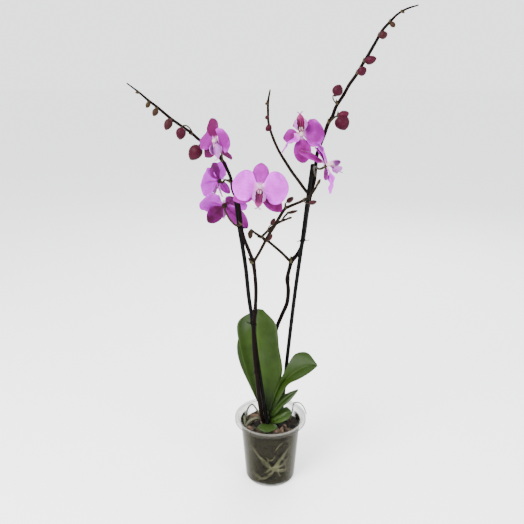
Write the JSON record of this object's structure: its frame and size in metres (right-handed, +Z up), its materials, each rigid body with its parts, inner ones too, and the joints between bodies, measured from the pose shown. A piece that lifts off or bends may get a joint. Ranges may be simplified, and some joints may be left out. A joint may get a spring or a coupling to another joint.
{
  "type": "potted orchid",
  "caption": "Moth orchid in bloom: arching flower spikes with pink-lilac blooms and buds, tied to stakes in a clear pot of bark.",
  "frame": {"origin": "centre of the pot's flat base, on the plane that it stands on", "axes": "+Z up along the pot's axis; the plant's front, as pictured, faces -Y; +X is to the right as seen from the front"},
  "size_m": [0.3929, 0.1644, 0.7768],
  "materials": {
    "pot": "gloss",
    "bark": "matte",
    "root": "matte",
    "leaf": "satin",
    "stake": "matte",
    "tie": "matte",
    "stem": "satin",
    "petal": "satin",
    "lip": "satin"
  },
  "bodies": {
    "root": {"pot": "pot", "crown_roots": "root", "leaf_tall": "leaf", "leaf_behind": "leaf", "leaf_right": "leaf", "leaf_narrow": "leaf", "leaf_round": "leaf", "leaf_front": "leaf", "bark": "bark", "stake_left": "stake", "stake_right": "stake", "tie_left_upper": "tie", "tie_left_lower": "tie", "tie_right": "tie", "spike_left": "stem", "spike_right": "stem", "petals_1": "petal", "lip_1": "lip", "petals_2": "petal", "lip_2": "lip", "petals_3": "petal", "lip_3": "lip", "petals_4": "petal", "lip_4": "lip", "petals_5": "petal", "lip_5": "lip", "petals_6": "petal", "lip_6": "lip"}
  },
  "joints": []
}
